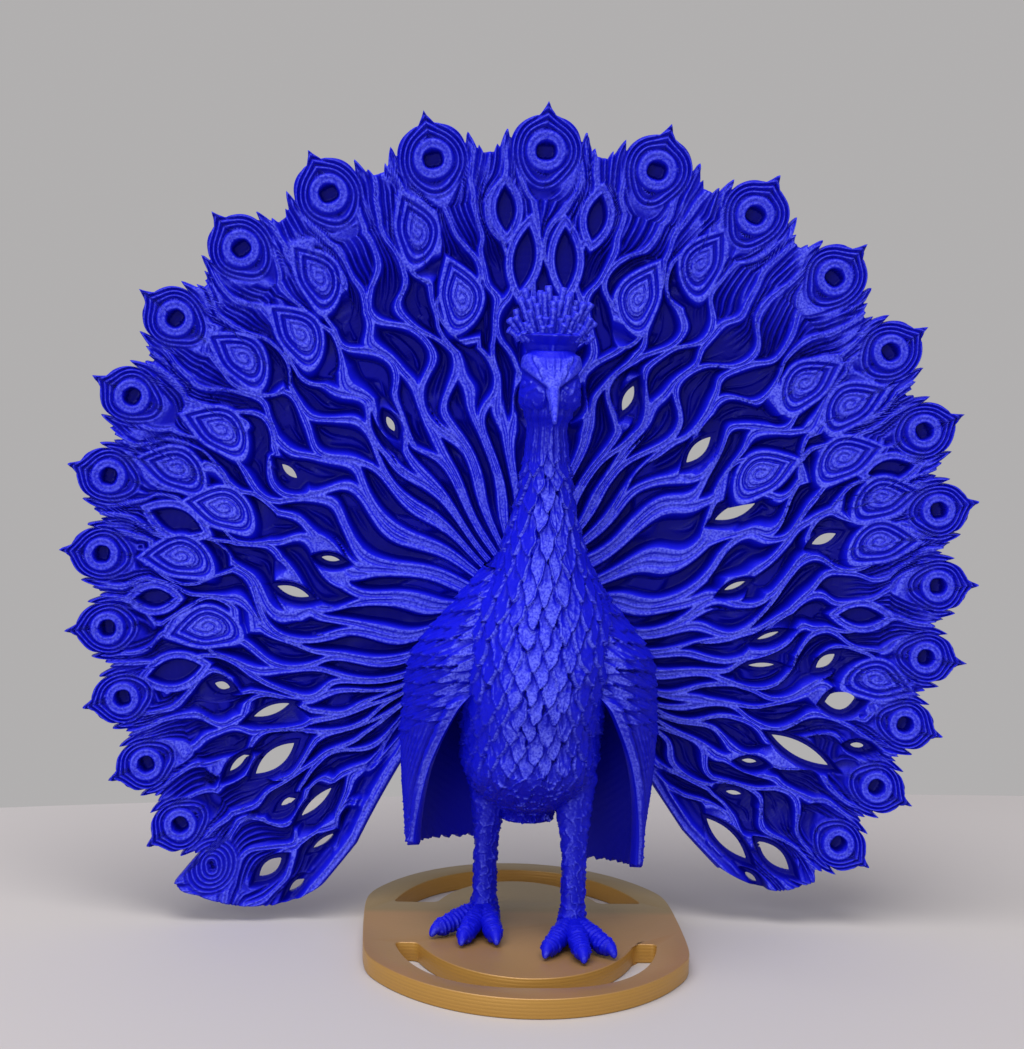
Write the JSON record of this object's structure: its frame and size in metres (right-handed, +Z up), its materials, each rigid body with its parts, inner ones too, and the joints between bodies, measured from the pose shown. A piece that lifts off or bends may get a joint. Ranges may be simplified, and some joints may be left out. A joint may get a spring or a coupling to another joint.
{
  "type": "printed peacock figurine",
  "caption": "Plastic 3-D-printed peacock figurine, its train raised in a round pierced fan, standing on a flat oval base with curved slots; a shelf ornament with no moving parts.",
  "frame": {"origin": "middle of the base plate's underside, where the figurine meets what it stands on", "axes": "+Z up; the bird faces -Y; +X is to the right of someone who looks at its face"},
  "size_m": [0.2225, 0.102, 0.199],
  "materials": {
    "blue_plastic": "deep blue printed plastic with a satin sheen and fine layer lines",
    "gold_plastic": "gold-bronze silk printed plastic, flat top, fine layer lines on its sides"
  },
  "bodies": {
    "root": {"base_plate": "gold_plastic", "trunk": "blue_plastic", "neck": "blue_plastic", "eye_left": "blue_plastic", "eye_right": "blue_plastic", "head": "blue_plastic", "beak": "blue_plastic", "crest": "blue_plastic", "wing_left": "blue_plastic", "wing_right": "blue_plastic", "leg_left": "blue_plastic", "foot_left": "blue_plastic", "leg_right": "blue_plastic", "foot_right": "blue_plastic", "tail_root": "blue_plastic", "tail_fan": "blue_plastic", "train_feather_left_11": "blue_plastic", "train_feather_left_10": "blue_plastic", "train_feather_left_09": "blue_plastic", "train_feather_left_08": "blue_plastic", "train_feather_left_07": "blue_plastic", "train_feather_left_06": "blue_plastic", "train_feather_left_05": "blue_plastic", "train_feather_left_04": "blue_plastic", "train_feather_left_03": "blue_plastic", "train_feather_left_02": "blue_plastic", "train_feather_left_01": "blue_plastic", "train_feather_mid": "blue_plastic", "train_feather_right_01": "blue_plastic", "train_feather_right_02": "blue_plastic", "train_feather_right_03": "blue_plastic", "train_feather_right_04": "blue_plastic", "train_feather_right_05": "blue_plastic", "train_feather_right_06": "blue_plastic", "train_feather_right_07": "blue_plastic", "train_feather_right_08": "blue_plastic", "train_feather_right_09": "blue_plastic", "train_feather_right_10": "blue_plastic", "train_feather_right_11": "blue_plastic", "train_edge_left": "blue_plastic", "train_edge_right": "blue_plastic"}
  },
  "joints": []
}
